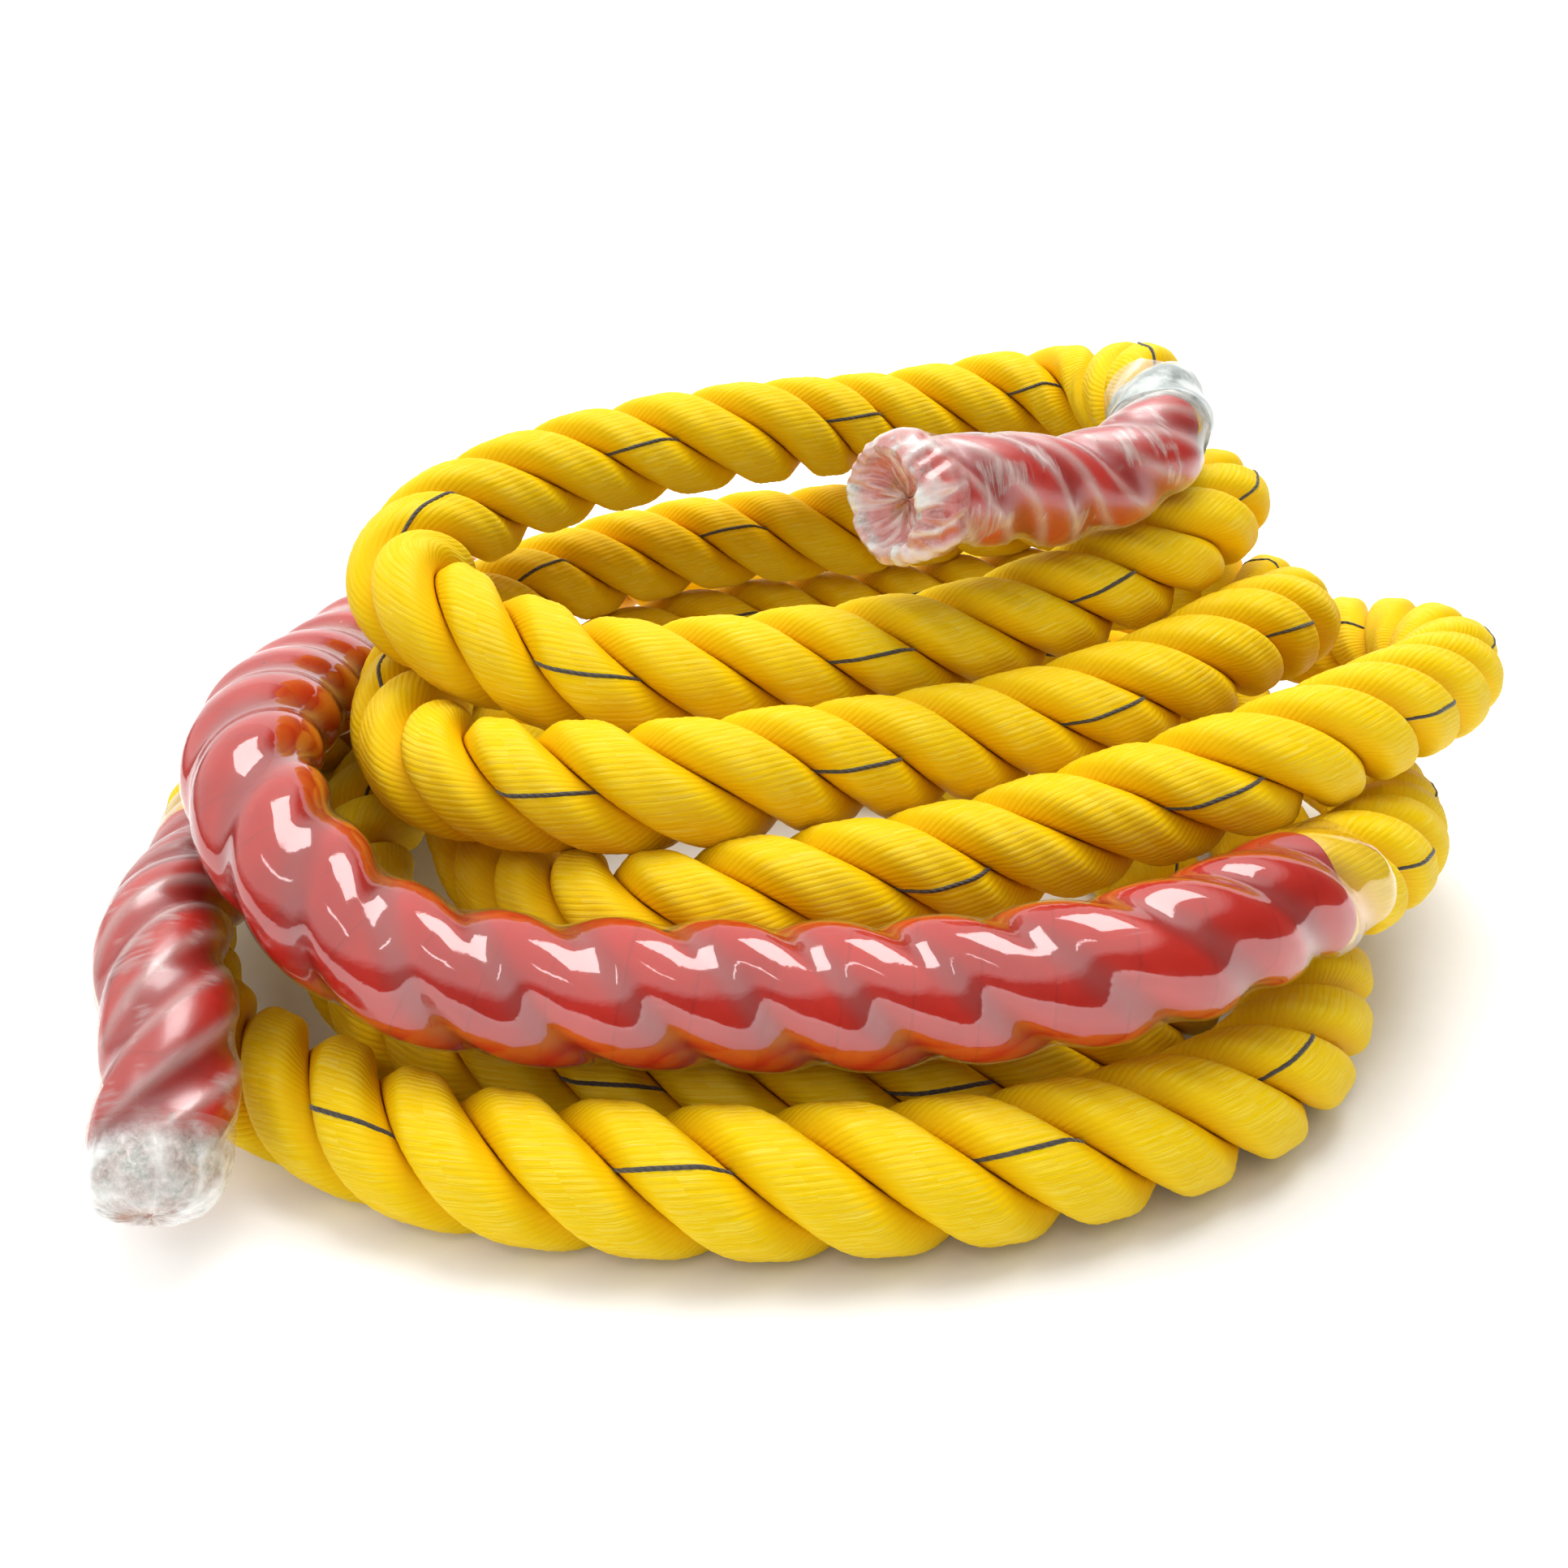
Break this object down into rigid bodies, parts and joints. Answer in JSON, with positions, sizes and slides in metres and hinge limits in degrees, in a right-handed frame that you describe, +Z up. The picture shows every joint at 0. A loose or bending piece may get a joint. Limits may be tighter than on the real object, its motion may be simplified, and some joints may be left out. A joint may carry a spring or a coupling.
{
  "type": "heavy training rope",
  "caption": "Thick three-strand battle rope lying in a loose heap of turns, with red taped and clear-sleeved hand grips at both ends and an anchor sleeve in the middle.",
  "frame": {"origin": "centre of the heap's outline, on the floor it lies on", "axes": "+Z up; +X along the heap's long way, to the right seen from the side of the anchor sleeve; -Y towards that side"},
  "size_m": [0.6371, 0.5393, 0.259],
  "materials": {
    "rope": "glossy synthetic fibre, three laid strands",
    "tracer": "dark marker yarn",
    "red_tape": "red wrap, wound tight over the strands",
    "label_band": "plain pale band",
    "shrink_sleeve": "clear glossy heat-shrink sleeve",
    "sleeve_fold": "folded-in end of the clear sleeve"
  },
  "bodies": {
    "root": {"strand_1": "rope", "strand_2": "rope", "strand_3": "rope", "tracer_yarn": "tracer", "grip_a_wrap": "red_tape", "grip_a_band": "label_band", "grip_a_sleeve": "shrink_sleeve", "grip_a_fold": "sleeve_fold", "anchor_wrap": "red_tape", "anchor_sleeve": "shrink_sleeve", "grip_b_wrap": "red_tape", "grip_b_sleeve": "shrink_sleeve", "grip_b_fold": "sleeve_fold"}
  },
  "joints": []
}
